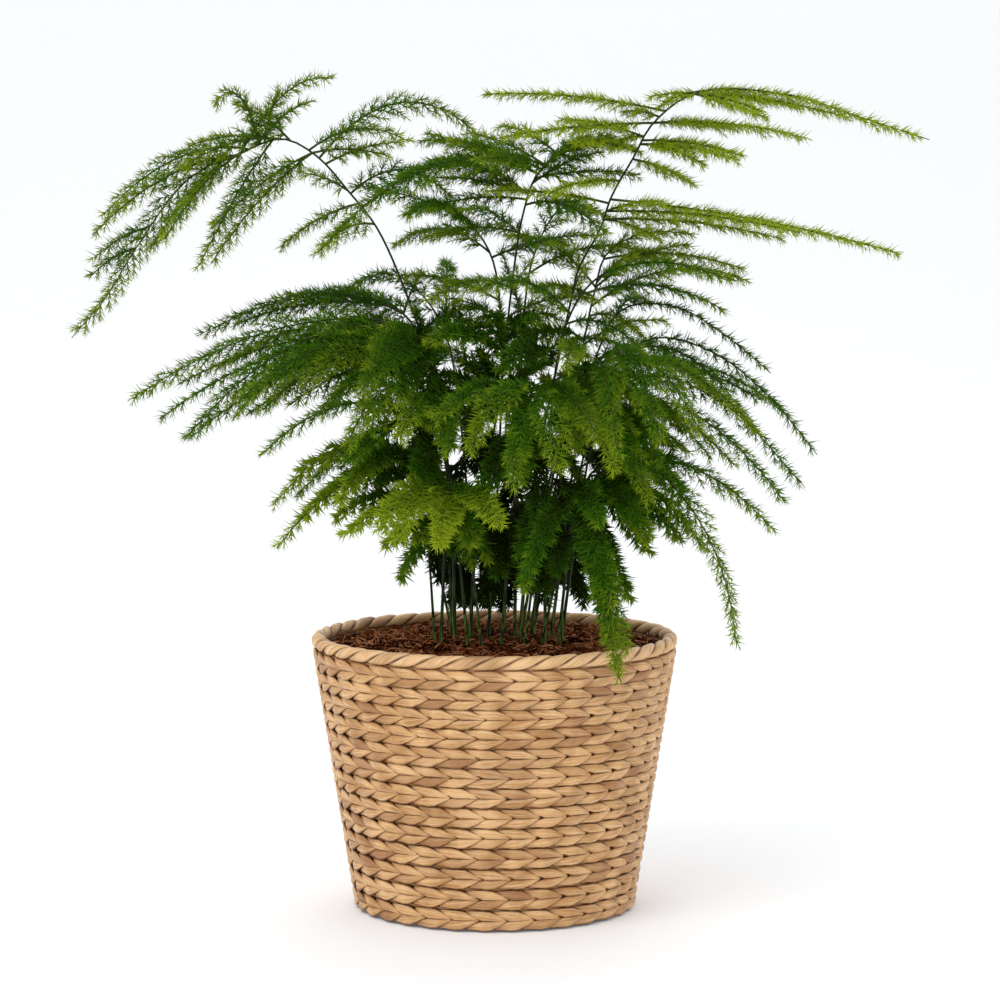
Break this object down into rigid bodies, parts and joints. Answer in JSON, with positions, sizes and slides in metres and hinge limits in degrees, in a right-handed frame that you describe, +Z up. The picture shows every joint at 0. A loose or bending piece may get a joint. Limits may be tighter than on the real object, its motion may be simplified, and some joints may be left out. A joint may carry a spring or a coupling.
{
  "type": "potted asparagus fern",
  "caption": "Asparagus fern with wiry arching stems and feathery plumes, growing in mulch-topped soil in a round tapered basket of coiled plait.",
  "frame": {"origin": "middle of the basket's flat underside, where it stands on the floor", "axes": "+Z up along the basket's axis; +X towards the plant's long right-hand plumes; -Y towards the viewer of the picture"},
  "size_m": [0.505, 0.28, 0.4984],
  "materials": {
    "hyacinth_plait": "matt dried plant fibre with a faint sheen",
    "hyacinth_rope": "matt dried plant fibre with a faint sheen",
    "pot_plastic": "matt black",
    "potting_soil": "loose, matt",
    "bark_mulch": "shredded, matt",
    "fern": "satin green leaf"
  },
  "bodies": {
    "root": {"basket_wall": "hyacinth_plait", "basket_rim": "hyacinth_rope", "basket_base": "hyacinth_plait", "inner_pot": "pot_plastic", "soil": "potting_soil", "mulch": "bark_mulch", "shoot_tall_left": "fern", "shoot_tall_right": "fern", "shoot_centre_tall": "fern", "shoot_centre_left": "fern", "shoot_right_upper": "fern", "shoot_right_middle": "fern", "shoot_right_arc": "fern", "shoot_right_reach": "fern", "shoot_right_low": "fern", "shoot_right_hanging": "fern", "shoot_rim_spray": "fern", "shoot_front_middle": "fern", "shoot_front_right": "fern", "shoot_left_reach": "fern", "shoot_left_high": "fern", "shoot_left_front": "fern", "shoot_left_low": "fern", "shoot_left_facing": "fern", "shoot_back_middle": "fern", "shoot_back_left": "fern", "shoot_back_right": "fern", "shoot_back_low": "fern", "shoot_back_high": "fern"}
  },
  "joints": []
}
